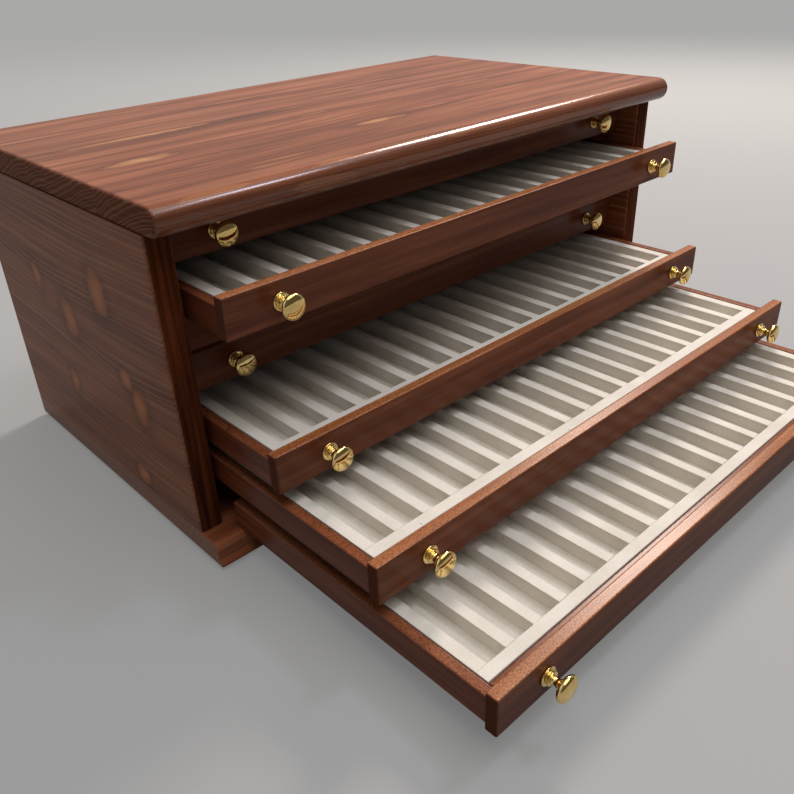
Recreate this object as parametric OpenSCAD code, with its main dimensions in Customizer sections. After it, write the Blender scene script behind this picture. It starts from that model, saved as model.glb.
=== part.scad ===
// Pen display cabinet: a stained pine case with seven shallow drawers, each with
// a flocked tray of pen slots. It is drawn with four of its drawers pulled out.
// Millimetres, +X to the right along the front, +Y to the back, +Z up.
// The origin is on the table, under the middle of the side panels.

/* [Case] */
// Width of the case
case_w = 500; // [440:1:580]
// Depth of the side panels, front to back
case_d = 270; // [250:1:330]
// Thickness of the side panels
side_t = 17; // [14:0.5:22]
// Rounding of the side panels' front edges
side_edge_r = 3; // [1:0.5:5]
// Thickness of the top board
top_t = 18; // [15:0.5:24]
// How far the top's half-round nose stands in front of the sides
top_nose = 16.6; // [13:0.2:24]
// Rounding of the top board's upper side edges
top_edge_r = 2.5; // [1:0.5:5]
// Thickness of the bottom board
bottom_t = 17; // [15:0.5:22]
// Ledge of the bottom board in front of the sides, before its moulded edge
ledge = 12; // [6:0.5:20]
// Radius of the round at the top of the moulded edge
mould_r = 6; // [4:0.5:8]
// Height of the flared foot of the moulded edge
foot_h = 5; // [3:0.5:6]
// How far the flared foot stands out
foot_out = 3; // [1:0.5:4]
// Height of the upright lip under the flare
foot_lip = 1.5; // [0.5:0.5:2.5]
// Thickness of the back panel
back_t = 6; // [4:0.5:9]
// Setback of the back panel from the rear edges
back_inset = 4; // [2:0.5:8]
// Depth of the groove that holds the back panel
back_groove = 5; // [3:0.5:7]

/* [Dowels and pads] */
// Diameter of the case dowels
dowel_d = 8; // [6:0.5:10]
// Length of the case dowels
dowel_len = 30; // [24:1:40]
// Depth of a dowel in the top or bottom board
dowel_in_board = 10; // [8:0.5:12]
// Distance of the dowels from the side panels' front and rear edges
dowel_inset = 40; // [30:1:60]
// Diameter of the foot pads
pad_d = 16; // [12:1:24]
// Height of the foot pads
pad_h = 3; // [2:0.5:6]
// Distance of the pads' centres from the edges of the bottom board
pad_inset = 14; // [13:1:30]

/* [Runners] */
// Width of a runner strip
runner_w = 10; // [8:0.5:14]
// Height of a runner strip
runner_h = 8; // [6:0.5:9]

/* [Drawers] */
// Height from one drawer to the next
pitch = 29.1; // [28:0.1:34]
// Gap between one drawer front and the next
front_gap = 2.6; // [2:0.1:4]
// Thickness of the drawer fronts
front_t = 8; // [6:0.5:12]
// Rounding of the drawer fronts' arrises
front_edge_r = 1.2; // [0.6:0.2:2]
// How far the closed fronts lie behind the side panels' front edges
front_recess = 20; // [17:0.5:26]
// Lower edge of a drawer front above the lower edge of its box
front_lift = 1.6; // [0.4:0.1:2]
// Thickness of the box walls
box_wall = 7; // [6.5:0.5:10]
// Room between the top of a box and the strip above it
box_play = 1.6; // [1:0.1:4]
// Room behind a closed drawer
rear_room = 9; // [4:0.5:20]
// Thickness of the drawer bottoms
floor_t = 3.5; // [3:0.5:5]
// Height of a drawer bottom above the lower edge of its box
floor_up = 2; // [1.5:0.5:3]
// Depth of the groove that holds a drawer bottom
floor_groove = 4; // [2:0.5:5]

/* [Trays] */
// Number of pen slots in a tray
slot_count = 19; // [12:1:22]
// Width of the dividers between the slots
divider_w = 7.6; // [5:0.2:9]
// Width of the rim around the slots
rim_w = 8.2; // [6:0.2:12]
// Thickness of the tray's base
tray_base_t = 3.8; // [2:0.2:5]
// Drop of the tray's rim below the top of the box
tray_drop = 0.4; // [0.2:0.1:2]

/* [Knobs] */
// Distance of the knobs from the ends of the front
knob_inset = 38.4; // [20:0.2:80]
// Diameter of the knob's head
head_d = 16; // [13:0.5:19]
// How far the knob stands out from the front
knob_out = 15.6; // [14:0.2:16.5]
// Radius of the knob's rounded rim
rim_r = 2.2; // [1.6:0.1:2.6]
// Diameter of the knob's flange
flange_d = 11.6; // [9:0.2:14]
// Thickness of the knob's flange
flange_t = 1.6; // [1:0.2:2.4]
// Diameter of the bead in front of the flange
bead_d = 8.8; // [7:0.2:9]
// Radius of the bead's round edge
bead_r = 1.2; // [0.8:0.1:1.4]
// Diameter of the knob's neck
neck_d = 5; // [4:0.2:6]
// Radius of the domed face of the knob's head
dome_r = 22; // [16:1:40]
// Height of the dome above the knob's rounded rim
dome_h = 1.2; // [0.8:0.1:1.6]
// Length of the taper from the neck to the head
taper_h = 2; // [1:0.1:3]
// Diameter of the knob's stud
stud_d = 4; // [3:0.2:5]
// Depth of the stud in the box wall
stud_in_wall = 5; // [3:0.5:5.5]

/* [Drawer positions] */
// Pull-out of drawer 1, the top one
pull_1 = 0; // [0:0.5:180]
// Pull-out of drawer 2
pull_2 = 61; // [0:0.5:180]
// Pull-out of drawer 3
pull_3 = 0; // [0:0.5:180]
// Pull-out of drawer 4
pull_4 = 0; // [0:0.5:180]
// Pull-out of drawer 5
pull_5 = 94; // [0:0.5:180]
// Pull-out of drawer 6
pull_6 = 177.5; // [0:0.5:180]
// Length of drawer 7, the lowest, that still lies on the ledge of the bottom board
hold_7 = 3; // [1:1:150]

/* [Clearances] */
// Running gap between a drawer and what carries it
run_gap = 0.3; // [0.2:0.05:0.6]
// Gap between a drawer front and a side panel
front_side_gap = 0.6; // [0.4:0.1:1.5]
// Gap between a drawer box and a side panel
box_side_gap = 4.5; // [2:0.5:5]
// Gap between a closed front and the ends of the strips
stop_gap = 0.5; // [0.3:0.1:1]
// Gap around a tray in its box
tray_gap = 0.5; // [0.3:0.1:1]
// Glue line between the strips of a tray
glue_line = 0.05; // [0.03:0.01:0.1]
// Gap around a panel in its groove
groove_gap = 0.1; // [0.05:0.05:0.3]
// Radial gap around a dowel or a stud in its hole
hole_gap = 0.05; // [0.02:0.01:0.1]
// Gap at the end of a dowel or a stud in its hole
end_gap = 0.5; // [0.3:0.1:1]

/* [Hidden] */
$fn = 64;
drawer_count = 7;
drawers = [1:drawer_count];
// A cutter runs past the face that it opens by this much
past = 1;

inner_w = case_w - 2 * side_t;
side_h = drawer_count * pitch + run_gap;
drawer_len = case_d - back_inset - back_t - rear_room - front_recess;
pull_7 = front_recess + drawer_len + ledge - hold_7;
pulls = [pull_1, pull_2, pull_3, pull_4, pull_5, pull_6, pull_7];

// How far the base's front edge stands in front of the side panels
base_out = ledge + mould_r + foot_out;
// How far the foremost piece stands in front of the side panels, as the drawers are drawn
reach = max(base_out, top_nose, max(pulls) - front_recess + knob_out);
// Y is 0 in the middle of the whole object, from its rear to that piece
rear_y = (case_d + reach) / 2;
front_y = rear_y - case_d;
floor_z = pad_h + bottom_t;
roof_z = floor_z + side_h;
mould_y = front_y - ledge - mould_r;
base_front_y = front_y - base_out;
back_y = rear_y - back_inset - back_t;

front_w = inner_w - 2 * front_side_gap;
front_h = pitch - front_gap;
box_w = inner_w - 2 * box_side_gap;
box_h = pitch - runner_h - run_gap - box_play;
box_len = drawer_len - front_t;
box_inner_w = box_w - 2 * box_wall;
box_inner_len = box_len - 2 * box_wall;

tray_w = box_inner_w - 2 * tray_gap;
tray_len = box_inner_len - 2 * tray_gap;
tray_z = floor_up + floor_t + groove_gap;
tray_h = box_h - tray_drop - tray_z;
wall_z = tray_z + tray_base_t + glue_line;
wall_h = tray_z + tray_h - wall_z;
slot_len = tray_len - 2 * rim_w;
slot_w = (tray_w - 2 * rim_w - (slot_count - 1) * divider_w) / slot_count;
slot_step = slot_w + divider_w;

knob_x = front_w / 2 - knob_inset;
knob_z = front_lift + front_h / 2;
stud_hole_d = stud_d + 2 * hole_gap;
dowel_hole_d = dowel_d + 2 * hole_gap;
dowel_in_side = dowel_len - dowel_in_board;
dowel_x = (case_w - side_t) / 2;

pine = "#6b3d2c";
pine_top = "#8a5640";
mahogany = "#5a2f20";
box_wood = "#7a4028";
flock = "#dcd3c2";
brass = "#d8b04a";
felt = "#2a211d";

case_names = ["top_board", "bottom_board", "side_panel_left", "side_panel_right", "back_panel",
              "runners_left", "runners_right", "case_dowels", "foot_pads"];
drawer_names = ["front", "side_left", "side_right", "box_ends", "bottom", "tray", "knobs"];

// Name of one piece of drawer i
function drawer_node(i, name) = str("drawer_", i, "_", name);

// Lower edge of the box of drawer i; 0 stands for the level above the top drawer
function box_z(i) = floor_z + run_gap + (drawer_count - i) * pitch;

// Front face of drawer i where it is drawn
function face_y(i) = front_y + front_recess - pulls[i - 1];

// An outline in Y and Z, drawn out along X and centred on it
module along_x(length) {
    rotate([90, 0, 90])
        linear_extrude(length, center = true)
            children();
}

// An outline in X and Z, drawn out along Y from y = 0
module along_y(length) {
    translate([0, length, 0])
        rotate([90, 0, 0])
            linear_extrude(length)
                children();
}

// A rectangle with one corner at the origin and all its corners rounded
module rounded_rect(width, height, r) {
    translate([r, 0])
        square([width - 2 * r, height]);
    translate([0, r])
        square([width, height - 2 * r]);
    for (x = [r, width - r], y = [r, height - r])
        translate([x, y])
            circle(r);
}

// A rectangle with one corner at the origin and its two nearer corners rounded
module rounded_front(width, depth, r) {
    translate([r, 0])
        square([width - 2 * r, depth]);
    translate([0, r])
        square([width, depth - r]);
    for (x = [r, width - r])
        translate([x, r])
            circle(r);
}

// A block centred on X, from a given corner in Y and Z
module block(width, y, z, depth, height) {
    translate([-width / 2, y, z])
        cube([width, depth, height]);
}

// The four dowel positions in plan
module at_dowels() {
    for (x = [-dowel_x, dowel_x], y = [front_y + dowel_inset, rear_y - dowel_inset])
        translate([x, y, 0])
            children();
}

// The space that the back panel's grooves take up
module back_groove_space() {
    block(inner_w + 2 * back_groove, back_y - groove_gap, floor_z - back_groove,
          back_t + 2 * groove_gap, side_h + 2 * back_groove);
}

module dowel_holes() {
    depth_in_board = dowel_in_board + end_gap;
    depth = dowel_len + 2 * end_gap;
    at_dowels() {
        translate([0, 0, floor_z - depth_in_board])
            cylinder(d = dowel_hole_d, h = depth);
        translate([0, 0, roof_z + depth_in_board - depth])
            cylinder(d = dowel_hole_d, h = depth);
    }
}

module top_board() {
    nose_r = top_t / 2;
    nose_y = front_y - top_nose + nose_r;
    color(pine_top)
        difference() {
            intersection() {
                along_x(case_w)
                    union() {
                        translate([nose_y, roof_z])
                            square([rear_y - nose_y, top_t]);
                        translate([nose_y, roof_z + nose_r])
                            circle(nose_r);
                    }
                translate([-case_w / 2, front_y - top_nose - past, roof_z - top_t])
                    along_y(case_d + top_nose + 2 * past)
                        rounded_rect(case_w, 2 * top_t, top_edge_r);
            }
            back_groove_space();
            dowel_holes();
        }
}

module bottom_board() {
    color(pine)
        difference() {
            along_x(case_w)
                union() {
                    translate([front_y - ledge, pad_h])
                        square([case_d + ledge, bottom_t]);
                    translate([front_y - ledge, floor_z - mould_r])
                        circle(mould_r);
                    translate([mould_y, pad_h])
                        square([mould_r, bottom_t - mould_r]);
                    polygon([[base_front_y, pad_h], [front_y, pad_h], [front_y, pad_h + foot_h],
                             [mould_y, pad_h + foot_h], [base_front_y, pad_h + foot_lip]]);
                }
            back_groove_space();
            dowel_holes();
        }
}

// One side panel, with its outer face at the given side
module side_panel(side) {
    color(pine)
        difference() {
            translate([side * dowel_x - side_t / 2, front_y, floor_z])
                linear_extrude(side_h)
                    rounded_front(side_t, case_d, side_edge_r);
            back_groove_space();
            dowel_holes();
        }
}

module back_panel() {
    reach = back_groove - groove_gap;
    color(pine)
        block(inner_w + 2 * reach, back_y, floor_z - reach, back_t, side_h + 2 * reach);
}

// The strips on one side panel: one under each drawer but the lowest, and one above the top drawer
module runners(side) {
    strip_y = front_y + front_recess + front_t + stop_gap;
    for (level = [0:drawer_count - 1])
        color(box_wood)
            translate([side * (inner_w - runner_w) / 2, 0, box_z(level) - run_gap - runner_h])
                block(runner_w, strip_y, 0, back_y - groove_gap - strip_y, runner_h);
}

module case_dowels() {
    color(box_wood)
        at_dowels() {
            translate([0, 0, floor_z - dowel_in_board])
                cylinder(d = dowel_d, h = dowel_len);
            translate([0, 0, roof_z - dowel_in_side])
                cylinder(d = dowel_d, h = dowel_len);
        }
}

module foot_pads() {
    pad_x = case_w / 2 - pad_inset;
    color(felt)
        for (x = [-pad_x, pad_x], y = [base_front_y + pad_inset, rear_y - pad_inset])
            translate([x, y, 0])
                cylinder(d = pad_d, h = pad_h);
}

// Moves a piece from a drawer's own frame, at its front face and its box's lower edge
module in_drawer(i) {
    translate([0, face_y(i), box_z(i)])
        children();
}

// The two holes for the knobs' studs, from the front face to the given depth
module stud_holes(depth) {
    for (x = [-knob_x, knob_x])
        translate([x, -past, knob_z])
            rotate([-90, 0, 0])
                cylinder(d = stud_hole_d, h = depth + past);
}

// The space that a drawer bottom's grooves take up in the box walls
module floor_groove_space() {
    block(box_inner_w + 2 * floor_groove, front_t + box_wall - floor_groove, floor_up - groove_gap,
          box_inner_len + 2 * floor_groove, floor_t + 2 * groove_gap);
}

module drawer_front(i) {
    color(mahogany)
        in_drawer(i)
            difference() {
                intersection() {
                    translate([0, 0, front_lift])
                        along_x(front_w)
                            rounded_rect(front_t, front_h, front_edge_r);
                    translate([-front_w / 2, 0, front_lift])
                        linear_extrude(front_h)
                            rounded_rect(front_w, front_t, front_edge_r);
                }
                stud_holes(front_t + past);
            }
}

module drawer_side(i, side) {
    color(box_wood)
        in_drawer(i)
            difference() {
                translate([side * (box_w - box_wall) / 2, 0, 0])
                    block(box_wall, front_t, 0, box_len, box_h);
                floor_groove_space();
            }
}

module drawer_box_ends(i) {
    color(box_wood)
        in_drawer(i)
            difference() {
                for (y = [front_t, drawer_len - box_wall])
                    block(box_inner_w, y, 0, box_wall, box_h);
                floor_groove_space();
                stud_holes(front_t + stud_in_wall + end_gap);
            }
}

module drawer_bottom(i) {
    reach = floor_groove - groove_gap;
    color(box_wood)
        in_drawer(i)
            block(box_inner_w + 2 * reach, front_t + box_wall - reach, floor_up,
                  box_inner_len + 2 * reach, floor_t);
}

module drawer_tray(i) {
    tray_y = front_t + box_wall + tray_gap;
    slot_y = tray_y + rim_w;
    color(flock)
        in_drawer(i) {
            block(tray_w, tray_y, tray_z, tray_len, tray_base_t);
            for (y = [tray_y, tray_y + tray_len - rim_w])
                block(tray_w, y, wall_z, rim_w, wall_h);
            for (side = [-1, 1])
                translate([side * (tray_w - rim_w) / 2, 0, 0])
                    block(rim_w, slot_y + glue_line, wall_z, slot_len - 2 * glue_line, wall_h);
            for (k = [1:slot_count - 1])
                translate([(k - slot_count / 2) * slot_step, 0, 0])
                    block(divider_w, slot_y + glue_line, wall_z, slot_len - 2 * glue_line, wall_h);
        }
}

// Half of a knob's outline, with the knob's axis up and its seat at height 0
module knob_outline() {
    rim_x = head_d / 2 - rim_r;
    rim_z = knob_out - dome_h - rim_r;
    under_z = rim_z - rim_r;
    bead_x = bead_d / 2 - bead_r;
    neck_r = neck_d / 2;
    stud_len = front_t + stud_in_wall;
    intersection() {
        translate([0, -stud_len])
            square([head_d / 2, stud_len + knob_out]);
        union() {
            translate([0, -stud_len])
                square([stud_d / 2, stud_len + flange_t]);
            square([flange_d / 2, flange_t]);
            square([bead_x, flange_t + 2 * bead_r]);
            translate([bead_x, flange_t + bead_r])
                circle(bead_r);
            square([neck_r, rim_z]);
            polygon([[0, under_z - taper_h], [neck_r, under_z - taper_h],
                     [rim_x, under_z], [rim_x, rim_z], [0, rim_z]]);
            translate([rim_x, rim_z])
                circle(rim_r);
            intersection() {
                translate([0, knob_out - dome_r])
                    circle(dome_r);
                translate([0, rim_z])
                    square([rim_x, knob_out - rim_z]);
            }
        }
    }
}

module drawer_knobs(i) {
    color(brass)
        in_drawer(i)
            for (x = [-knob_x, knob_x])
                translate([x, 0, knob_z])
                    rotate([90, 0, 0])
                        rotate_extrude()
                            knob_outline();
}

top_board();
bottom_board();
side_panel(-1);  // side_panel_left
side_panel(1);  // side_panel_right
back_panel();
runners(-1);  // runners_left
runners(1);  // runners_right
case_dowels();
foot_pads();
for (i = drawers) {
    drawer_front(i);
    drawer_side(i, -1);
    drawer_side(i, 1);
    drawer_box_ends(i);
    drawer_bottom(i);
    drawer_tray(i);
    drawer_knobs(i);
}
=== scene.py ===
# %% [markdown]
# # A pen display cabinet
# The object is a low case of knotty pine, stained to a reddish walnut and lacquered. Seven shallow
# drawers slide in it, each with a mahogany front, two brass knobs and a cream flocked tray of pen slots.
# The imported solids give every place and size, so this lesson only dresses them: it makes finer meshes
# where an edge or a curve catches the light, and gives each material its grain, pores and gloss.

# %% Load the solids
import math
from functools import partial

import bpy
import numpy as np
from mathutils import Matrix, Vector


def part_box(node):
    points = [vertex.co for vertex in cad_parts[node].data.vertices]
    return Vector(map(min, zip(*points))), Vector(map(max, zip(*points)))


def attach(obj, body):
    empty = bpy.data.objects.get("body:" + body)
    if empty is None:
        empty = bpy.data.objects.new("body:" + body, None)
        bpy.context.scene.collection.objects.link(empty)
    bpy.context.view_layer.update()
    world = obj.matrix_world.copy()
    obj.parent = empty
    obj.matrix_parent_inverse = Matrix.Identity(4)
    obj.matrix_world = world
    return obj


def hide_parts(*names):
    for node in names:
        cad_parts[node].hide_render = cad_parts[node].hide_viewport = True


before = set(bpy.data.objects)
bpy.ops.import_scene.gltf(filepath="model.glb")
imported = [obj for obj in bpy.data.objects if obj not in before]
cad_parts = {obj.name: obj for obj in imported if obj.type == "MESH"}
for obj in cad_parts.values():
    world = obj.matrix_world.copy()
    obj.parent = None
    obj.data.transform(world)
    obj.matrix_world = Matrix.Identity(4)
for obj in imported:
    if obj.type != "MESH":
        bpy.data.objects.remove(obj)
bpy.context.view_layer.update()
MM = 0.001
DRAWERS = range(1, 8)

# %% [markdown]
# ## The camera
# The photograph was taken from the left of the case and a little above it. Its straight edges give the
# camera's place, its three angles and its focal length. A camera can be aimed with a tracking constraint,
# but three angles also carry the slight roll of a hand-held picture, so the axes are worked out from them.

# %% Camera
CAMERA_PLACE = np.array([-430.9, -405.8, 360.0]) * MM
CAMERA_YAW, CAMERA_PITCH, CAMERA_ROLL = np.radians([-42.08, -30.07, 2.36])
FOCAL_PIXELS, FRAME_PIXELS, SENSOR_MM = 801.3, 794, 36.0


def camera_axes(yaw, pitch, roll):
    """The camera's right, up and backward axes: forward from yaw and pitch, then a roll about forward."""
    forward = np.array([-math.sin(yaw) * math.cos(pitch), math.cos(yaw) * math.cos(pitch), math.sin(pitch)])
    level_right = np.array([math.cos(yaw), math.sin(yaw), 0.0])
    level_down = np.cross(forward, level_right)
    right = math.cos(roll) * level_right + math.sin(roll) * level_down
    down = -math.sin(roll) * level_right + math.cos(roll) * level_down
    return np.stack([right, -down, -forward], axis=1)


camera_data = bpy.data.cameras.new("photo_camera")
camera_data.sensor_width = SENSOR_MM
camera_data.lens = FOCAL_PIXELS / FRAME_PIXELS * SENSOR_MM
camera_data.clip_start = 0.01
camera = bpy.data.objects.new("photo_camera", camera_data)
turn = Matrix(camera_axes(CAMERA_YAW, CAMERA_PITCH, CAMERA_ROLL).tolist()).to_4x4()
camera.matrix_world = Matrix.Translation(Vector(CAMERA_PLACE)) @ turn
bpy.context.scene.collection.objects.link(camera)
bpy.context.scene.camera = camera
print("camera lens in mm:", round(camera_data.lens, 2))

# %% [markdown]
# ## From arrays to pieces
# Every new piece is worked out as numpy arrays of points, normals and faces. One function turns the arrays
# into a Blender object, puts it on the body that it moves with and hides the solids that it stands for.
# The normals are known exactly from the formulas, so a long flat face stays flat right up to its round arris.

# %% Piece maker
SCENE = bpy.context.scene.collection


def make_piece(name, shape, material, body, replaced):
    """Builds an object from points, normals and faces, and ties it to the frame."""
    points, normals, faces = shape
    mesh = bpy.data.meshes.new(name)
    mesh.from_pydata(points.tolist(), [], faces)
    mesh.polygons.foreach_set("use_smooth", np.ones(len(mesh.polygons), dtype=bool))
    mesh.normals_split_custom_set_from_vertices(normals.tolist())
    mesh.materials.append(material)
    piece = bpy.data.objects.new(name, mesh)
    SCENE.objects.link(piece)
    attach(piece, body)
    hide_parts(*replaced)
    return piece


def dress_solid(node, material):
    """Gives a solid that keeps its own mesh a finished material."""
    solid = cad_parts[node]
    for place in solid.material_slots:
        place.material = material


# %% [markdown]
# ## Blocks with eased arrises
# A joiner breaks every sharp edge with a pass of sandpaper, and that thin round is what catches the light.
# A bevel modifier could do it, but a formula gives the round and its normals exactly, and makes a whole row
# of strips at once.

# %% Eased blocks
ARC_STEPS = 4


def eased_blocks(low, high, ease):
    """Blocks with round arrises, one for each row of low and high.
    A point has a longitude and a latitude, as on a globe cut into eight corners that are moved apart: it is
    the centre of its corner, which lies `ease` inside the faces, plus `ease` times the direction."""
    low, high = np.atleast_2d(low).astype(float), np.atleast_2d(high).astype(float)
    quarter = np.linspace(0, np.pi / 2, ARC_STEPS + 1)
    longitude = (np.arange(4)[:, None] * np.pi / 2 + quarter).ravel()
    corner = np.repeat(np.arange(4), ARC_STEPS + 1)
    side_x = np.where((corner == 0) | (corner == 3), 1.0, -1.0)
    side_y = np.where(corner < 2, 1.0, -1.0)
    latitude = np.concatenate([-quarter[ARC_STEPS - 1::-1], quarter[:ARC_STEPS]])
    side_z = np.repeat([-1.0, 1.0], ARC_STEPS)
    ring, rows = len(longitude), len(latitude)

    direction = np.zeros((rows, ring, 3))
    direction[..., 0] = np.cos(latitude)[:, None] * np.cos(longitude)
    direction[..., 1] = np.cos(latitude)[:, None] * np.sin(longitude)
    direction[..., 2] = np.sin(latitude)[:, None]
    side = np.zeros_like(direction)
    side[..., 0], side[..., 1], side[..., 2] = side_x, side_y, side_z[:, None]
    caps = np.array([[x, y, z] for z in (-1, 1) for x, y in ((1, 1), (-1, 1), (-1, -1), (1, -1))], float)
    direction = np.concatenate([direction.reshape(-1, 3), caps * [0, 0, 1]])
    side = np.concatenate([side.reshape(-1, 3), caps])

    core = (high - low) / 2 - ease
    points = ((low + high) / 2)[:, None] + core[:, None] * side + ease * direction
    normals = np.broadcast_to(direction, points.shape)

    here = np.arange(ring)
    after = np.roll(here, -1)
    row = np.arange(rows - 1)[:, None] * ring
    wall = np.stack([row + here, row + after, row + ring + after, row + ring + here], -1).reshape(-1, 4)
    below, above = rows * ring, rows * ring + 4
    top = (rows - 1) * ring
    bottom_faces = np.stack([after, here, below + corner, below + corner[after]], -1)
    top_faces = np.stack([top + here, top + after, above + corner[after], above + corner], -1)
    lids = [[below + 3, below + 2, below + 1, below], [above, above + 1, above + 2, above + 3]]
    faces = np.concatenate([wall, bottom_faces, top_faces, lids])
    count = rows * ring + 8
    every = (faces[None] + np.arange(len(low))[:, None, None] * count).reshape(-1, 4)
    # Where two corners of a face are the same point, as beside the caps, one of them is dropped.
    clean = [list(dict.fromkeys(face)) for face in every.tolist()]
    return points.reshape(-1, 3), normals.reshape(-1, 3), clean


print("points of one eased block:", len(eased_blocks((0, 0, 0), (1, 1, 1), 0.1)[0]))

# %% [markdown]
# ## Boards with a moulded edge
# The top, the bottom and the two sides are boards of one outline all along their length. The outline is a
# few corner points with a radius each, and the board is that outline carried along a straight path. At both
# ends the outline draws in along a quarter circle, which eases the end arris too.

# %% Moulded boards
CORNER_POINTS = 9


def rounded_outline(corners, radii):
    """Points and outward normals of a closed outline that runs against the clock.
    At each corner an arc touches both edges: its centre lies on the corner's bisector."""
    corners, radii = np.asarray(corners, float), np.asarray(radii, float)
    to_here = corners - np.roll(corners, 1, axis=0)
    to_here /= np.linalg.norm(to_here, axis=1, keepdims=True)
    onward = np.roll(to_here, -1, axis=0)
    bend = np.arctan2(to_here[:, 0] * onward[:, 1] - to_here[:, 1] * onward[:, 0], (to_here * onward).sum(1))
    hand = np.sign(bend)
    normal_in = np.stack([to_here[:, 1], -to_here[:, 0]], -1)
    start = corners - to_here * (radii * np.tan(np.abs(bend) / 2))[:, None]
    centre = start - normal_in * (hand * radii)[:, None]
    first = np.arctan2(normal_in[:, 1], normal_in[:, 0])
    angle = first[:, None] + bend[:, None] * np.linspace(0, 1, CORNER_POINTS)
    normals = np.stack([np.cos(angle), np.sin(angle)], -1)
    points = centre[:, None] + normals * (hand * radii)[:, None, None]
    return points.reshape(-1, 2), normals.reshape(-1, 2)


def moulded_board(outline, start, end, ease, axes):
    """Carries an outline from start to end. Ring t of an end stands `ease` times the sine of t past the
    straight part, drawn in by `ease` times one less the cosine of t. Axes says which of X, Y and Z the
    outline's two directions and the path follow."""
    points, normals = outline
    turn_in = np.linspace(np.pi / 2, 0, ARC_STEPS + 1)
    slope = np.concatenate([-turn_in, turn_in[::-1]])
    along = np.repeat([start + ease, end - ease], ARC_STEPS + 1) + ease * np.sin(slope)
    drawn_in = ease * (1 - np.cos(slope))
    rings = np.zeros((len(slope), len(points), 3))
    facing = np.zeros_like(rings)
    rings[..., axes[0]], rings[..., axes[1]] = np.moveaxis(points - drawn_in[:, None, None] * normals, -1, 0)
    rings[..., axes[2]] = along[:, None]
    facing[..., axes[0]], facing[..., axes[1]] = np.moveaxis(np.cos(slope)[:, None, None] * normals, -1, 0)
    facing[..., axes[2]] = np.sin(slope)[:, None]
    ring = len(points)
    here = np.arange(ring)
    after = np.roll(here, -1)
    row = np.arange(len(slope) - 1)[:, None] * ring
    wall = np.stack([row + here, row + after, row + ring + after, row + ring + here], -1).reshape(-1, 4)
    caps = [here[::-1].tolist(), (here + (len(slope) - 1) * ring).tolist()]
    faces = wall.tolist() + caps
    if axes[0] > axes[1]:
        faces = [face[::-1] for face in faces]
    return rings.reshape(-1, 3), facing.reshape(-1, 3), faces


unit_outline = rounded_outline([(0, 0), (1, 0), (1, 1), (0, 1)], [0.1] * 4)
print("points of an outline with four corners:", len(unit_outline[0]))

# %% [markdown]
# ## Nodes for the finishes
# All finishes are made of nodes. One small function adds a node, sets its values and links what feeds it.
# Colours are written as the hex values that a picture editor shows, and one function turns them to the
# linear values that light is reckoned in.

# %% Node helpers
def linear(code):
    """An sRGB hex colour as linear red, green, blue and alpha."""
    channel = np.array([int(code[i:i + 2], 16) for i in (1, 3, 5)]) / 255
    value = np.where(channel <= 0.04045, channel / 12.92, ((channel + 0.055) / 1.055) ** 2.4)
    return (*value.tolist(), 1.0)


def add(tree, kind, *feeds, sockets=None, out=0, stops=(), **settings):
    """Adds a node and gives back one of its outputs, or all of them where out is None. Kind is the node's
    name, with its operation where it has one. Feeds fill the sockets in order, by value or by link."""
    name, _, operation = kind.partition(" ")
    node = tree.nodes.new("ShaderNode" + name)
    if operation:
        node.operation = operation
    for key, value in settings.items():
        setattr(node, key, value)
    for place, (position, code) in enumerate(stops):
        ramp = node.color_ramp.elements
        stop = ramp[place] if place < len(ramp) else ramp.new(1.0)
        stop.position, stop.color = position, linear(code)
    for socket, value in {**dict(enumerate(feeds)), **(sockets or {})}.items():
        if isinstance(value, bpy.types.NodeSocket):
            tree.links.new(value, node.inputs[socket])
        else:
            node.inputs[socket].default_value = value
    return node.outputs if out is None else node.outputs[out]


def new_finish(name, **constants):
    """An empty material with its node tree and its surface shader, whose constant sockets are set."""
    material = bpy.data.materials.new(name)
    material.use_nodes = True
    shader = material.node_tree.nodes["Principled BSDF"]
    for socket, value in constants.items():
        shader.inputs[socket.replace("_", " ")].default_value = value
    return material, material.node_tree, shader


def millimetres(tree):
    """The point on the object in millimetres, its three parts, and the three parts of the facing direction."""
    source = add(tree, "TexCoord", out=None)
    point = add(tree, "VectorMath SCALE", source["Object"], sockets={"Scale": 1 / MM})
    parts = add(tree, "SeparateXYZ", point, out=None)
    return point, parts, add(tree, "SeparateXYZ", source["Normal"], out=None)


def turned_to(tree, facing, axis):
    """One where a face looks along an axis, either way, and nought where it looks aside."""
    size = add(tree, "Math ABSOLUTE", facing["XYZ".index(axis)])
    return add(tree, "MapRange", size, 0.55, 0.85, interpolation_type="SMOOTHSTEP")


RELIEF_DEPTH = 0.3 * MM
print("middle grey in linear light:", round(linear("#808080")[0], 3))

# %% [markdown]
# ## Stained pine
# Pine boards are glued edge to edge, and each board was sawn from its own place in a log. So the grain is
# built as it grows: rings round a pith line that lies outside each board, bent by slow noise along the grain.
# The face then shows long flames and the end shows arcs, all from the same rings. The stain sinks into the
# soft early wood, so the rings show as thin lines, and the knots stay orange. A satin lacquer lies over it all,
# and its gloss gives the wood a pale haze where it mirrors the floor. It lies thicker on the round nose of the
# top, with a fine orange peel that breaks up the gloss. Sawn ends of the top drink it and stay matt.

# %% Stained pine
STAVE_MM, JOINT_MM = 72.0, 0.35
# How many half sizes of a knot, along and across, the rings are pushed aside, and by how many millimetres.
KNOT_REACH, KNOT_PUSH_MM = (9.0, 2.4, 1.0), 6.0
# The pith lies this far below a stave, least and most.
PITH_MM = (12.0, 40.0)
# Lengths along and across the grain of what the eye sees: the bends of the rings, the ragged edge of a knot,
# fibres, streaks of stain, patches that took less stain, and the orange peel of the lacquer.
BEND_MM, RAGGED_MM, FIBRE_MM = (260, 70), (11, 9), (46, 1.2)
STREAK_MM, PATCH_MM, PEEL_MM = (210, 16), (95, 11), (0.7, 0.45)
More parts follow.
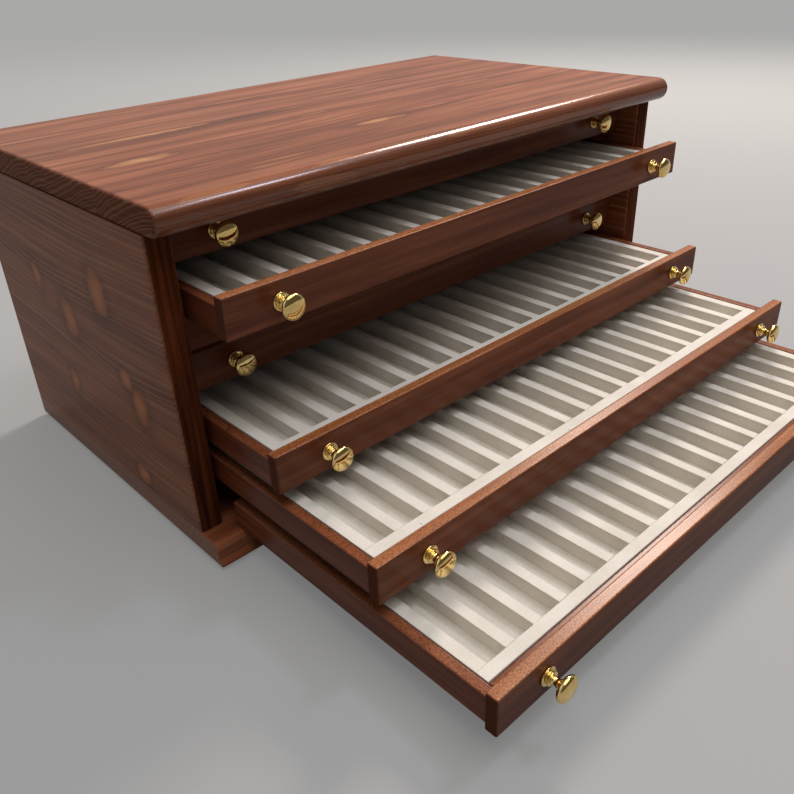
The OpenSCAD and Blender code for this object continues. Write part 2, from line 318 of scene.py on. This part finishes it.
# On a sawn end the stain was wiped along the edge: lengths along, across and through the board.
WIPED_MM = (8, 120, 3)


def stained_pine(name, along, across, depth, seed, tones, knots=()):
    """Pine with its grain along one axis, glued of staves across another.
    Knots are places along and across, with half their size each way, in millimetres."""
    material, tree, shader = new_finish(name, Roughness=0.5, Specular_IOR_Level=0.0,
                                        Coat_Roughness=tones["satin"])
    _, parts, facing = millimetres(tree)
    put = partial(add, tree)
    g, a, b = (parts["XYZ".index(letter)] for letter in (along, across, depth))

    def stretched(length, width, third=None):
        """The point, shrunk by a length along the grain and by a width across it."""
        return put("CombineXYZ", put("Math DIVIDE", g, length), put("Math DIVIDE", a, width),
                   put("Math DIVIDE", b, width) if third is None else third)

    # Each stave has its own place in the log, by three chance numbers.
    stave = put("Math ADD", put("Math DIVIDE", a, STAVE_MM), seed * 0.37)
    index = put("Math FLOOR", stave)
    part = put("Math SUBTRACT", stave, index)
    draw = put("Math ADD", index, seed * 7.0)
    own = put("TexWhiteNoise", sockets={"W": draw}, out=1, noise_dimensions="1D")
    own = put("SeparateXYZ", own, out=None)

    # Knots are orange, ragged ovals that push the rings aside.
    apart = put("Math MULTIPLY", index, 9.1)
    bend = put("TexNoise", sockets={"Vector": stretched(*BEND_MM, apart), "Scale": 1.0})
    bend = put("MapRange", bend, 0.0, 1.0, -tones["bend"], tones["bend"])
    ragged = put("TexNoise", sockets={"Vector": stretched(*RAGGED_MM), "Scale": 1.0})
    ragged = put("MapRange", ragged, 0.0, 1.0, -0.45, 0.45)
    nearest = 3.0  # in half sizes of a knot: too far to show one
    for knot_g, knot_a, half_g, half_a in knots:
        away = put("CombineXYZ", put("Math DIVIDE", put("Math SUBTRACT", g, knot_g), half_g),
                   put("Math DIVIDE", put("Math SUBTRACT", a, knot_a), half_a))
        nearest = put("Math MINIMUM", put("VectorMath LENGTH", away, out=1), nearest)
        reach = put("VectorMath LENGTH", put("VectorMath DIVIDE", away, KNOT_REACH), out=1)
        push = put("Math EXPONENT", put("Math MULTIPLY", put("Math MULTIPLY", reach, reach), -1.0))
        bend = put("Math MULTIPLY_ADD", push, KNOT_PUSH_MM, bend)

    from_knot = put("Math ADD", nearest, ragged)
    knotty = put("MapRange", from_knot, 1.08, 0.8, 0.0, 0.92, interpolation_type="SMOOTHSTEP")
    rim = put("MapRange", from_knot, 1.9, 1.0, 1.0, 0.7)

    # The distance from the pith, counted in rings, gives the phase in a ring: late wood lies at its end.
    beside = put("Math ADD", part, put("MapRange", own[0], 0.0, 1.0, *tones["aside"]))
    beside = put("Math MULTIPLY_ADD", beside, STAVE_MM, bend)
    below = put("Math ADD", b, put("MapRange", own[1], 0.0, 1.0, *PITH_MM))
    from_pith = put("VectorMath LENGTH", put("CombineXYZ", beside, below), out=1)
    rings = put("Math DIVIDE", from_pith, tones["ring"])
    uneven = put("TexNoise", sockets={"W": put("Math MULTIPLY", rings, 0.3), "Scale": 1.0, "Detail": 1.0},
                 noise_dimensions="1D")
    phase = put("Math FRACT", put("Math MULTIPLY_ADD", uneven, 2.0, rings))
    late = put("MapRange", phase, 0.5, 0.86, interpolation_type="SMOOTHSTEP")
    late = put("Math MULTIPLY", late, put("MapRange", phase, 1.0, 0.93))

    # The colour: streaks of stain, paler patches, ring lines, and a fibre that darkens and lightens it all.
    fibre = put("TexNoise", sockets={"Vector": stretched(*FIBRE_MM), "Scale": 1.0, "Detail": 3.0})
    streak = put("TexNoise", sockets={"Vector": stretched(*STREAK_MM), "Scale": 1.0, "Detail": 3.0})
    patch = put("TexNoise", sockets={"Vector": stretched(*PATCH_MM), "Scale": 1.0})
    wood = put("ValToRGB", streak,
               stops=[(0.32, tones["deep"]), (0.5, tones["stain"]), (0.68, tones["warm"])])
    bare = put("MapRange", patch, 0.63, 0.67, 0.0, tones["patches"], interpolation_type="SMOOTHSTEP")
    wood = put("Mix", bare, sockets={6: wood, 7: linear(tones["pale"])}, out=2, data_type="RGBA")
    line = put("Math MULTIPLY", late, put("MapRange", patch, 0.36, 0.62, *tones["lines"]))
    wood = put("Mix", line, sockets={6: wood, 7: linear(tones["late"])}, out=2, data_type="RGBA")
    shade = put("MapRange", fibre, 0.25, 0.75, 0.86, 1.14)
    shade = put("Math MULTIPLY", shade, put("MapRange", own[2], 0.0, 1.0, 0.92, 1.08))
    from_joint = put("Math ABSOLUTE", put("Math SUBTRACT", part, 0.5))
    seam = put("MapRange", from_joint, 0.5 - JOINT_MM / STAVE_MM, 0.5, 1.0, 0.72)
    shade = put("Math MULTIPLY", shade, put("Math MULTIPLY", rim, seam))
    wood = put("VectorMath MULTIPLY", wood, shade)
    heart = put("Math MULTIPLY_ADD", fibre, 0.5, put("Math MULTIPLY", from_knot, 0.6))
    heart = put("ValToRGB", heart, stops=[(0.35, tones["knot"]), (0.8, tones["knot_deep"])])
    wood = put("Mix", knotty, sockets={6: wood, 7: heart}, out=2, data_type="RGBA")

    # Sawn ends drink more stain: arcs of rings on a dark ground, wiped along the edge.
    wiped = put("CombineXYZ", *(put("Math DIVIDE", *pair) for pair in zip((g, a, b), WIPED_MM)))
    wiped = put("TexNoise", sockets={"Vector": wiped, "Scale": 1.0, "Detail": 3.0})
    end = put("ValToRGB", wiped, stops=[(0.35, tones["end"]), (0.65, tones["end_warm"])])
    arcs = put("Math MULTIPLY", late, tones["arcs"])
    end = put("Mix", arcs, sockets={6: end, 7: linear(tones["arc"])}, out=2, data_type="RGBA")
    sawn = turned_to(tree, facing, along)
    wood = put("Mix", sawn, sockets={6: wood, 7: end}, out=2, data_type="RGBA")
    tree.links.new(wood, shader.inputs["Base Color"])

    # The lacquer is thicker on the nose and thin on sawn ends, and its orange peel shows most on the nose.
    rounded = put("MapRange", put("Math ABSOLUTE", facing["XYZ".index(across)]), 0.3, 0.45)
    lacquer = put("MapRange", rounded, 0.0, 1.0, tones["coat"], tones["nose_coat"])
    lacquer = put("MapRange", sawn, 0.0, 1.0, lacquer, tones["end_coat"])
    tree.links.new(lacquer, shader.inputs["Coat Weight"])
    peel = put("TexNoise", sockets={"Vector": stretched(*PEEL_MM), "Scale": 1.0, "Detail": 0.0})
    peel = put("Math MULTIPLY", peel, put("MapRange", rounded, 0.0, 1.0, 0.5, tones["peel"]))
    relief = put("Math ADD", peel, put("Math MULTIPLY_ADD", line, 0.5, fibre))
    bump = put("Bump", sockets={"Strength": tones["relief"], "Distance": RELIEF_DEPTH, "Height": relief})
    tree.links.new(bump, shader.inputs["Normal"])
    return material


# Rings and bends are in millimetres, and aside is in staves. The other numbers are shares of one.
TOP_TONES = {
    "ring": 2.9, "bend": 15.0, "aside": (0.1, 1.1), "lines": (0.08, 0.55), "arcs": 0.55, "patches": 0.4,
    "coat": 0.45, "nose_coat": 0.95, "end_coat": 0.1, "satin": 0.19, "relief": 0.4, "peel": 9.0,
    "deep": "#7A462F", "stain": "#94573A", "warm": "#AA6B4C", "late": "#4E2D1F", "pale": "#BE8056",
    "knot": "#C68C60", "knot_deep": "#99613C", "end": "#6A3B28", "end_warm": "#804A33", "arc": "#A87A5E"}
SIDE_TONES = {
    "ring": 1.9, "bend": 5.0, "aside": (0.6, 1.3), "lines": (0.12, 0.48), "arcs": 0.12, "patches": 0.15,
    "coat": 0.42, "nose_coat": 0.3, "end_coat": 0.06, "satin": 0.3, "relief": 0.3, "peel": 0.5,
    "deep": "#763F29", "stain": "#8C5034", "warm": "#9E5F40", "late": "#BE8E6C", "pale": "#A06C4E",
    "knot": "#CE8250", "knot_deep": "#A65F36", "end": "#3A1B11", "end_warm": "#713A20", "arc": "#8A4A2E"}
BASE_TONES = {**SIDE_TONES, "lines": (0.0, 0.2), "arcs": 0.4, "end_coat": 0.6,
              "end": "#845038", "end_warm": "#925B40", "arc": "#B08468"}
TOP_KNOTS = [(-201, 79, 24, 7), (-26, 49, 26, 5), (-165, 146, 66, 4)]
LEFT_KNOTS = [(76, 168, 12, 17), (137, 133, 11, 16), (182, 153, 8, 11), (159, 74, 8, 10), (61, 111, 9, 8),
              (47, 95, 11, 14), (67, 31, 9, 9)]
RIGHT_KNOTS = [(64, 62, 6, 9), (196, 128, 7, 13), (118, 188, 5, 8), (150, 40, 6, 7)]
pine_top = stained_pine("stained_pine_top", "X", "Y", "Z", 1.0, TOP_TONES, TOP_KNOTS)
pine_left = stained_pine("stained_pine_left", "Y", "Z", "X", 2.0, SIDE_TONES, LEFT_KNOTS)
pine_right = stained_pine("stained_pine_right", "Y", "Z", "X", 5.0, SIDE_TONES, RIGHT_KNOTS)
pine_base = stained_pine("stained_pine_base", "X", "Y", "Z", 3.0, BASE_TONES)
print("pine finishes:", [m.name for m in (pine_top, pine_left, pine_right, pine_base)])

# %% [markdown]
# ## Stained mahogany
# The drawer fronts and boxes are of an open-pored reddish wood. The faces were filled and lacquered, so they
# show only a soft ribbon and fine streaks. Faces that look up get a paler painted tone, which stands for the
# light that falls on them from above, and their pores show more there, as short dark dashes. The pores are
# finer than a pixel on the real wood, so they are drawn about half a millimetre wide.

# %% Stained mahogany
# Lengths along and across the grain.
RIBBON_MM, FINE_FIBRE_MM, PORE_MM = (150, 7), (34, 0.9), (1.7, 0.55)
# How strongly pores show on faces and on faces that look up, which are painted paler for the light from above,
# and how much lacquer lies on faces and on sawn ends.
PORE_SHOWS, FACE_AND_END_COAT = (0.1, 0.55), (0.4, 0.08)


def stained_mahogany(name, along, tones):
    """Mahogany with its grain along one axis: slow ribbons, fine fibre and short dark pores."""
    material, tree, shader = new_finish(name, Roughness=0.5, Specular_IOR_Level=0.0, Coat_Roughness=0.25)
    point, _, facing = millimetres(tree)
    put = partial(add, tree)

    def stretched(length, width):
        """The point, shrunk by a length along the grain and by a width across it."""
        return put("VectorMath DIVIDE", point, [length if letter == along else width for letter in "XYZ"])

    ribbon = put("TexNoise", sockets={"Vector": stretched(*RIBBON_MM), "Scale": 1.0, "Detail": 3.0})
    fibre = put("TexNoise", sockets={"Vector": stretched(*FINE_FIBRE_MM), "Scale": 1.0})
    pore = put("TexNoise", sockets={"Vector": stretched(*PORE_MM), "Scale": 1.0, "Detail": 1.0})
    # Faces that look up take the paler edge tones and more pores: painted light, standing for the light from
    # above.
    lit_from_above = put("MapRange", facing["Z"], 0.55, 0.9, interpolation_type="SMOOTHSTEP")
    pore = put("MapRange", pore, 0.47, 0.6, interpolation_type="SMOOTHSTEP")
    pore = put("Math MULTIPLY", pore, put("MapRange", lit_from_above, 0.0, 1.0, *PORE_SHOWS))
    colour = put("ValToRGB", ribbon,
                 stops=[(0.3, tones["deep"]), (0.52, tones["stain"]), (0.72, tones["warm"])])
    edge = put("ValToRGB", ribbon, stops=[(0.3, tones["edge_deep"]), (0.7, tones["edge"])])
    colour = put("Mix", lit_from_above, sockets={6: colour, 7: edge}, out=2, data_type="RGBA")
    colour = put("VectorMath MULTIPLY", colour, put("MapRange", fibre, 0.25, 0.75, 0.84, 1.16))
    sawn = turned_to(tree, facing, along)
    colour = put("Mix", sawn, sockets={6: colour, 7: linear(tones["end"])}, out=2, data_type="RGBA")
    colour = put("Mix", pore, sockets={6: colour, 7: linear(tones["pore"])}, out=2, data_type="RGBA")
    tree.links.new(colour, shader.inputs["Base Color"])
    lacquer = put("MapRange", sawn, 0.0, 1.0, *FACE_AND_END_COAT)
    tree.links.new(lacquer, shader.inputs["Coat Weight"])
    relief = put("Math SUBTRACT", fibre, pore)
    bump = put("Bump", sockets={"Strength": 0.22, "Distance": RELIEF_DEPTH, "Height": relief})
    tree.links.new(bump, shader.inputs["Normal"])
    return material


# The edge tones are painted light: the paler wood of faces that look up, where the light from above falls.
FRONT_TONES = {"deep": "#5C2F1F", "stain": "#703D26", "warm": "#854E33", "pore": "#3A1B10",
               "edge_deep": "#9E5C36", "edge": "#BC8058", "end": "#613624"}
BOX_TONES = {"deep": "#663322", "stain": "#7A422B", "warm": "#905338", "pore": "#2C110A",
             "edge_deep": "#7C4026", "edge": "#9C6040", "end": "#5A3020"}
mahogany_front = stained_mahogany("stained_mahogany_front", "X", FRONT_TONES)
mahogany_side = stained_mahogany("stained_mahogany_side", "Y", BOX_TONES)
mahogany_wall = stained_mahogany("stained_mahogany_wall", "X", BOX_TONES)
print("mahogany finishes:", [m.name for m in (mahogany_front, mahogany_side, mahogany_wall)])

# %% [markdown]
# ## Cream flock
# The tray strips are covered with flock: short upright fibres glued on, which look like fine felt. Light
# scatters between the fibres, so the surface is matt, softly cloudy and a little brighter at grazing angles.
# A few specks of dust lie on it.

# %% Cream flock
# The nap is drawn coarser than real flock, because that is finer than a pixel.
CLOUD_MM, NAP_MM, SPECK_MM = 26, 0.9, 26


def cream_flock(name):
    """Flock: a cream colour with soft clouds, a fine nap, sparse specks and some sheen."""
    material, tree, shader = new_finish(name, Roughness=0.95, Specular_IOR_Level=0.1, Sheen_Weight=0.1,
                                        Sheen_Roughness=0.5)
    point = millimetres(tree)[0]
    put = partial(add, tree)
    cloud = put("TexNoise", sockets={"Vector": point, "Scale": 1 / CLOUD_MM, "Detail": 3.0})
    nap = put("TexNoise", sockets={"Vector": point, "Scale": 1 / NAP_MM, "Detail": 2.0})
    speck = put("TexVoronoi", sockets={"Vector": point, "Scale": 1 / SPECK_MM})
    speck = put("MapRange", speck, 0.036, 0.02, 0.0, 0.5)
    colour = put("ValToRGB", cloud, stops=[(0.3, "#DAD4C9"), (0.7, "#E8E2D8")])
    colour = put("VectorMath MULTIPLY", colour, put("MapRange", nap, 0.25, 0.75, 0.94, 1.05))
    colour = put("Mix", speck, sockets={6: colour, 7: linear("#6E6353")}, out=2, data_type="RGBA")
    tree.links.new(colour, shader.inputs["Base Color"])
    bump = put("Bump", sockets={"Strength": 0.3, "Distance": RELIEF_DEPTH, "Height": nap})
    tree.links.new(bump, shader.inputs["Normal"])
    return material


flock = cream_flock("cream_flock")
print("tray finish:", flock.name)

# %% [markdown]
# ## Polished brass and the small finishes
# The knobs are turned brass, polished and lacquered: a metal with a low roughness, whose look is mostly what
# it mirrors. A slow haze breaks up the mirror. The pads are dark felt and the hidden dowels are beech.

# %% Brass, felt and beech
def patchy(name, dark, pale, size, **constants):
    """A finish with two tones in patches of one size in millimetres. Its roughness wanders with them."""
    material, tree, shader = new_finish(name, **constants)
    point = millimetres(tree)[0]
    patch = add(tree, "TexNoise", sockets={"Vector": point, "Scale": 1 / size, "Detail": 3.0})
    colour = add(tree, "ValToRGB", patch, stops=[(0.3, dark), (0.7, pale)])
    tree.links.new(colour, shader.inputs["Base Color"])
    rough = shader.inputs["Roughness"].default_value
    wander = add(tree, "MapRange", patch, 0.3, 0.7, 0.75 * rough, 1.1 * rough)
    tree.links.new(wander, shader.inputs["Roughness"])
    return material


brass = patchy("polished_brass", "#E0BE76", "#F0D898", 5.0, Metallic=1.0, Roughness=0.08)
felt = patchy("dark_felt", "#1F1815", "#332823", 1.5, Roughness=0.9)
beech = patchy("plain_beech", "#B08A5E", "#C9A378", 3.0, Roughness=0.8)
print("small finishes:", [m.name for m in (brass, felt, beech)])

# %% [markdown]
# ## The case
# The top has a full half-round nose in front, the bottom a small moulding, and the sides softened front
# edges. All three are moulded boards. The back, the runner strips, the dowels and the pads keep their solids.

# %% Case boards
TOP_EASE, BOARD_EASE, JOINT_EASE = 2.4 * MM, 1.0 * MM, 0.3 * MM
FOOT_OUT, FOOT_LIP, FOOT_H, MOULD_R = 3.0 * MM, 1.5 * MM, 5.0 * MM, 6.0 * MM
SIDE_EDGE, LIP_EASE, STEP_EASE = 3.0 * MM, 0.6 * MM, 0.8 * MM
# The nose is a hair short of a full half-round, so that its two arcs stay apart.
NOSE_SHARE = 0.999

low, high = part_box("top_board")
half_nose = (high.z - low.z) / 2 * NOSE_SHARE
top_outline = rounded_outline([(low.y, low.z), (high.y, low.z), (high.y, high.z), (low.y, high.z)],
                              [half_nose, BOARD_EASE, BOARD_EASE, half_nose])
make_piece("top_board_dressed", moulded_board(top_outline, low.x, high.x, TOP_EASE, (1, 2, 0)), pine_top,
           "case", ["top_board"])

low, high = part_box("bottom_board")
mould_y = low.y + FOOT_OUT
base_outline = rounded_outline(
    [(low.y, low.z), (high.y, low.z), (high.y, high.z), (mould_y, high.z), (mould_y, low.z + FOOT_H),
     (low.y, low.z + FOOT_LIP)],
    [LIP_EASE, BOARD_EASE, BOARD_EASE, MOULD_R, STEP_EASE, LIP_EASE])
make_piece("bottom_board_dressed", moulded_board(base_outline, low.x, high.x, BOARD_EASE, (1, 2, 0)),
           pine_base, "case", ["bottom_board"])

for name, pine in (("side_panel_left", pine_left), ("side_panel_right", pine_right)):
    low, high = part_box(name)
    outline = rounded_outline([(low.x, low.y), (high.x, low.y), (high.x, high.y), (low.x, high.y)],
                              [SIDE_EDGE, SIDE_EDGE, BOARD_EASE, BOARD_EASE])
    make_piece(name + "_dressed", moulded_board(outline, low.z, high.z, JOINT_EASE, (0, 1, 2)), pine,
               "case", [name])

dress_solid("back_panel", pine_base)
dress_solid("runners_left", mahogany_side)
dress_solid("runners_right", mahogany_side)
dress_solid("case_dowels", beech)
dress_solid("foot_pads", felt)
print("case boards dressed: 4 pieces")

# %% [markdown]
# ## The drawer boxes
# A drawer is a front board on a shallow box: two sides that run the whole length and two walls between them.
# Each is a block with eased arrises. The thin bottoms sit in grooves and keep their solids.

# %% Drawer boxes
FRONT_EASE, BOX_EASE, BOX_WALL = 1.2 * MM, 0.9 * MM, 7.0 * MM

for i in DRAWERS:
    body = f"drawer_{i}"
    low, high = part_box(f"{body}_front")
    make_piece(f"{body}_front_dressed", eased_blocks(low, high, FRONT_EASE), mahogany_front, body,
               [f"{body}_front"])
    for side in ("left", "right"):
        low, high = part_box(f"{body}_side_{side}")
        make_piece(f"{body}_side_{side}_dressed", eased_blocks(low, high, BOX_EASE), mahogany_side, body,
                   [f"{body}_side_{side}"])
    low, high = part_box(f"{body}_box_ends")
    lows = [low, (low.x, high.y - BOX_WALL, low.z)]
    highs = [(high.x, low.y + BOX_WALL, high.z), high]
    make_piece(f"{body}_box_ends_dressed", eased_blocks(lows, highs, BOX_EASE), mahogany_wall, body,
               [f"{body}_box_ends"])
    dress_solid(f"{body}_bottom", mahogany_wall)
print("drawer boxes dressed:", len(DRAWERS))

# %% [markdown]
# ## The trays
# A tray is a base with a rim of four strips and a row of dividers between the front and rear rims, all
# flocked. A height map could draw it in one sheet, but separate strips also show the fine gaps where the
# dividers end at the rim, and that each divider stands a hair lower or higher than its neighbour.

# %% Trays
SLOTS, DIVIDER_W, RIM_W, TRAY_BASE = 19, 7.6 * MM, 8.2 * MM, 3.8 * MM
FLOCK_EASE, TRAY_GAP = 0.45 * MM, 0.4 * MM
DIVIDER_DROP, DIVIDER_SPREAD, END_GAP = 0.35 * MM, 0.15 * MM, 0.25 * MM
chance = np.random.default_rng(19)


def tray_strips(low, high):
    """Base, rims and dividers of a tray as eased blocks. Divider k lies at k slots and k - 1 dividers, plus
    half of one, from the left rim."""
    x0, y0, z0 = low + Vector((TRAY_GAP, TRAY_GAP, 0))
    x1, y1, z1 = high - Vector((TRAY_GAP, TRAY_GAP, 0))
    floor = z0 + TRAY_BASE
    slot_w = (x1 - x0 - 2 * RIM_W - (SLOTS - 1) * DIVIDER_W) / SLOTS
    left = x0 + RIM_W + slot_w + np.arange(SLOTS - 1) * (slot_w + DIVIDER_W)
    rims_low = [(x0, y0, z0), (x0, y0, z0), (x0, y1 - RIM_W, z0), (x0, y0 + RIM_W, z0),
                (x1 - RIM_W, y0 + RIM_W, z0)]
    rims_high = [(x1, y1, floor), (x1, y0 + RIM_W, z1), (x1, y1, z1), (x0 + RIM_W, y1 - RIM_W, z1),
                 (x1, y1 - RIM_W, z1)]
    gap = END_GAP * chance.uniform(0.4, 1.6, (2, SLOTS - 1))
    lift = DIVIDER_DROP + DIVIDER_SPREAD * chance.uniform(-1, 1, SLOTS - 1)
    bars_low = np.stack([left, y0 + RIM_W + gap[0], np.full_like(left, floor - FLOCK_EASE)], -1)
    bars_high = np.stack([left + DIVIDER_W, y1 - RIM_W - gap[1], z1 - lift], -1)
    lows, highs = np.concatenate([rims_low, bars_low]), np.concatenate([rims_high, bars_high])
    return eased_blocks(lows, highs, FLOCK_EASE)


for i in DRAWERS:
    body = f"drawer_{i}"
    make_piece(f"{body}_tray_dressed", tray_strips(*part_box(f"{body}_tray")), flock, body,
               [f"{body}_tray"])
print("trays dressed:", len(DRAWERS), "with", SLOTS, "slots each")

# %% [markdown]
# ## The knobs
# A knob is turned on a lathe, so it is one outline spun round its axis: a flange on the wood, a bead, a thin
# neck and a mushroom head with a domed face. The outline is a chain of points joined by a smooth curve.

# %% Knobs
# Distance from the front face and radius, in millimetres, from the seat of the flange to the tip of the dome.
KNOB_OUTLINE = np.array([
    (0.0, 5.3), (0.4, 5.8), (1.1, 5.8), (1.6, 5.2), (1.9, 4.0), (2.3, 3.9), (2.9, 4.3), (3.5, 4.2), (3.9, 3.3),
    (4.6, 2.55), (6.2, 2.4), (7.8, 2.9), (9.0, 4.4), (10.0, 6.4), (11.0, 7.6), (12.0, 8.0), (13.2, 7.7),
    (14.2, 6.6), (15.0, 4.6), (15.45, 2.3), (15.6, 0.6)])
KNOB_HEAD_R = 8.0 * MM
TURN_STEPS, CURVE_STEPS = 48, 5


def smooth_chain(points, steps):
    """A curve through the points: each stretch is the cubic whose slopes follow the neighbouring points."""
    padded = np.concatenate([points[:1], points, points[-1:]])
    p0, p1, p2, p3 = (padded[k:len(padded) - 3 + k, None] for k in range(4))
    t = np.linspace(0, 1, steps, endpoint=False)[:, None]
    curve = 0.5 * (2 * p1 + (p2 - p0) * t + (2 * p0 - 5 * p1 + 4 * p2 - p3) * t ** 2
                   + (3 * p1 - p0 - 3 * p2 + p3) * t ** 3)
    return np.concatenate([curve.reshape(-1, points.shape[1]), points[-1:]])


def turned_knob(seat):
    """The outline spun round a line that runs forwards from the seat. A point at angle t is the seat, moved
    forwards by the outline's distance and out by its radius towards t; both ends close to a pole."""
    curve = smooth_chain(KNOB_OUTLINE, CURVE_STEPS) * MM
    slope = np.gradient(curve, axis=0)
    slope /= np.linalg.norm(slope, axis=1, keepdims=True)
    angle = np.linspace(0, 2 * np.pi, TURN_STEPS, endpoint=False)
    round_x, round_z = np.cos(angle), np.sin(angle)
    out, radius = curve[:, :1], curve[:, 1:]
    points = np.stack([radius * round_x, -out + 0 * round_x, radius * round_z], -1).reshape(-1, 3)
    facing = np.stack([slope[:, :1] * round_x, slope[:, 1:] + 0 * round_x, slope[:, :1] * round_z], -1)
    normals = facing.reshape(-1, 3)
    tip = np.array([[0, 0, 0], [0, -curve[-1, 0], 0]])
    points = np.concatenate([points, tip]) + np.asarray(seat)
    normals = np.concatenate([normals, [[0, 1, 0], [0, -1, 0]]])
    rows = len(curve)
    here = np.arange(TURN_STEPS)
    after = np.roll(here, -1)
    row = np.arange(rows - 1)[:, None] * TURN_STEPS
    above = row + TURN_STEPS
    wall = np.stack([row + here, row + after, above + after, above + here], -1).reshape(-1, 4)
    last = (rows - 1) * TURN_STEPS
    seat_pole, tip_pole = rows * TURN_STEPS, rows * TURN_STEPS + 1
    seat_fan = np.stack([after, here, np.full_like(here, seat_pole)], -1)
    tip_fan = np.stack([last + here, last + after, np.full_like(here, tip_pole)], -1)
    return points, normals, wall.tolist() + seat_fan.tolist() + tip_fan.tolist()


for i in DRAWERS:
    body = f"drawer_{i}"
    low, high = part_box(f"{body}_knobs")
    face_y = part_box(f"{body}_front")[0].y
    middle_z = (low.z + high.z) / 2
    left_knob = turned_knob((low.x + KNOB_HEAD_R, face_y, middle_z))
    right_knob = turned_knob((high.x - KNOB_HEAD_R, face_y, middle_z))
    shift = len(left_knob[0])
    pair = (np.concatenate([left_knob[0], right_knob[0]]), np.concatenate([left_knob[1], right_knob[1]]),
            left_knob[2] + [[k + shift for k in face] for face in right_knob[2]])
    make_piece(f"{body}_knobs_dressed", pair, brass, body, [f"{body}_knobs"])
print("knobs turned:", 2 * len(DRAWERS))

# %% [markdown]
# ## Floor
# The case stands on a pale floor that reaches out of sight. A pale floor throws much light up into the shade,
# so it is pale only where the camera, a gloss or a glass shows it, and a middle grey where it lights other
# things. It grows paler further out, where the lamps reach less. It keeps the shadow of the case, but where it
# is shown, a part of its tone is a plain glow, so that the shadow stays soft.

# %% Floor
def shown(tree):
    """One for a ray that shows a thing: from the camera, or off a gloss, or through glass."""
    rays = add(tree, "LightPath", out=None)
    mirrored = add(tree, "Math MAXIMUM", rays["Is Glossy Ray"], rays["Is Transmission Ray"])
    return add(tree, "Math MAXIMUM", rays["Is Camera Ray"], mirrored)


FLOOR_HALF, NEAR_M, FAR_M = 30.0, 0.7, 2.6
FLOOR_NEAR, FLOOR_FAR, FLOOR_UNSEEN = linear("#B2B2B2"), linear("#DCDCDB"), linear("#6A6968")
FLOOR_GLOW, GLOW_SHARE = linear("#A6A6A6"), 0.4
floor_mesh = bpy.data.meshes.new("studio_floor")
corners = np.array([(-1, -1, 0), (1, -1, 0), (1, 1, 0), (-1, 1, 0)]) * FLOOR_HALF
floor_mesh.from_pydata(corners.tolist(), [], [[0, 1, 2, 3]])
paper, paper_tree, paper_shader = new_finish("matt_studio_paper", Roughness=0.9, Specular_IOR_Level=0.1)
far = add(paper_tree, "VectorMath LENGTH", add(paper_tree, "TexCoord", out=None)["Object"], out=1)
far = add(paper_tree, "MapRange", far, NEAR_M, FAR_M, interpolation_type="SMOOTHSTEP")
pale_tone = add(paper_tree, "Mix", far, sockets={6: FLOOR_NEAR, 7: FLOOR_FAR}, out=2, data_type="RGBA")
paper_tone = add(paper_tree, "Mix", shown(paper_tree), sockets={6: FLOOR_UNSEEN, 7: pale_tone}, out=2,
                 data_type="RGBA")
paper_tree.links.new(paper_tone, paper_shader.inputs["Base Color"])
glow = add(paper_tree, "Emission", FLOOR_GLOW, 1.0)
glow_share = add(paper_tree, "Math MULTIPLY", shown(paper_tree), GLOW_SHARE)
paper_mix = add(paper_tree, "MixShader", glow_share, paper_shader.outputs[0], glow)
paper_tree.links.new(paper_mix, paper_tree.nodes["Material Output"].inputs["Surface"])
floor_mesh.materials.append(paper)
studio_floor = bpy.data.objects.new("studio_floor", floor_mesh)
SCENE.objects.link(studio_floor)
print("floor width in m:", 2 * FLOOR_HALF)

# %% [markdown]
# ## Light
# Shadow edges on the trays tell where the light comes from. A warm lamp stands to the right and behind, so low
# that the dividers shade the slots, and the left side and the fronts lie in shade. A weaker cool light, higher
# up and a little in front, gives the round nose its lilac gloss. A faint fill on the left lifts that side, and
# a broad soft light from above fills the shadows. The surroundings are pale where they are shown, but darker
# in front where a gloss shows them, because polished brass needs something dark to mirror.

# %% Lights
def hang_light(name, kind, place, power, colour, **settings):
    """A light of one kind at a place, turned to face the trays."""
    light = bpy.data.lights.new(name, kind)
    light.energy, light.color = power, linear(colour)[:3]
    for key, value in settings.items():
        setattr(light, key, value)
    holder = bpy.data.objects.new(name, light)
    holder.location = place
    holder.rotation_euler = (LIT_PLACE - Vector(place)).to_track_quat("-Z", "Y").to_euler()
    SCENE.objects.link(holder)


LIT_PLACE = Vector((-0.05, -0.1, 0.15))
AIR_STRENGTH, AIR_SHOWN = 0.14, linear("#ACABAA")
AIR_MIRRORED, AIR_IN_FRONT = linear("#BDBCBB"), linear("#5A5652")
hang_light("window", "AREA", (0.84, -0.46, 1.85), 6.5, "#ECECFF", shape="SQUARE", size=0.3)
hang_light("lamp", "AREA", (1.5, 0.62, 1.5), 37.0, "#FFF1E6", shape="SQUARE", size=0.5)
hang_light("fill", "AREA", (-1.5, 0.6, 1.0), 1.2, "#F6F8FF", shape="SQUARE", size=1.0)
hang_light("ceiling", "SUN", (0.2, -0.75, 3.0), 1.4, "#FFFDF8", angle=math.radians(60))

room = bpy.data.worlds.new("studio_room")
room.use_nodes = True
air = room.node_tree
dim = air.nodes["Background"]
dim.inputs["Color"].default_value = linear("#FFFFFF")
dim.inputs["Strength"].default_value = AIR_STRENGTH
way = add(air, "SeparateXYZ", add(air, "TexCoord", out=None)["Generated"], out=None)
in_front = add(air, "MapRange", way["Y"], 0.1, -0.5)
in_gloss = add(air, "LightPath", out=None)["Is Glossy Ray"]
mirrored = add(air, "Mix", in_front, sockets={6: AIR_MIRRORED, 7: AIR_IN_FRONT}, out=2, data_type="RGBA")
wall = add(air, "Mix", in_gloss, sockets={6: AIR_SHOWN, 7: mirrored}, out=2, data_type="RGBA")
pale = add(air, "Background", wall, 1.0)
mixed = add(air, "MixShader", shown(air), dim.outputs[0], pale)
air.links.new(mixed, air.nodes["World Output"].inputs["Surface"])
bpy.context.scene.world = room
bpy.context.scene.view_settings.view_transform = "Standard"
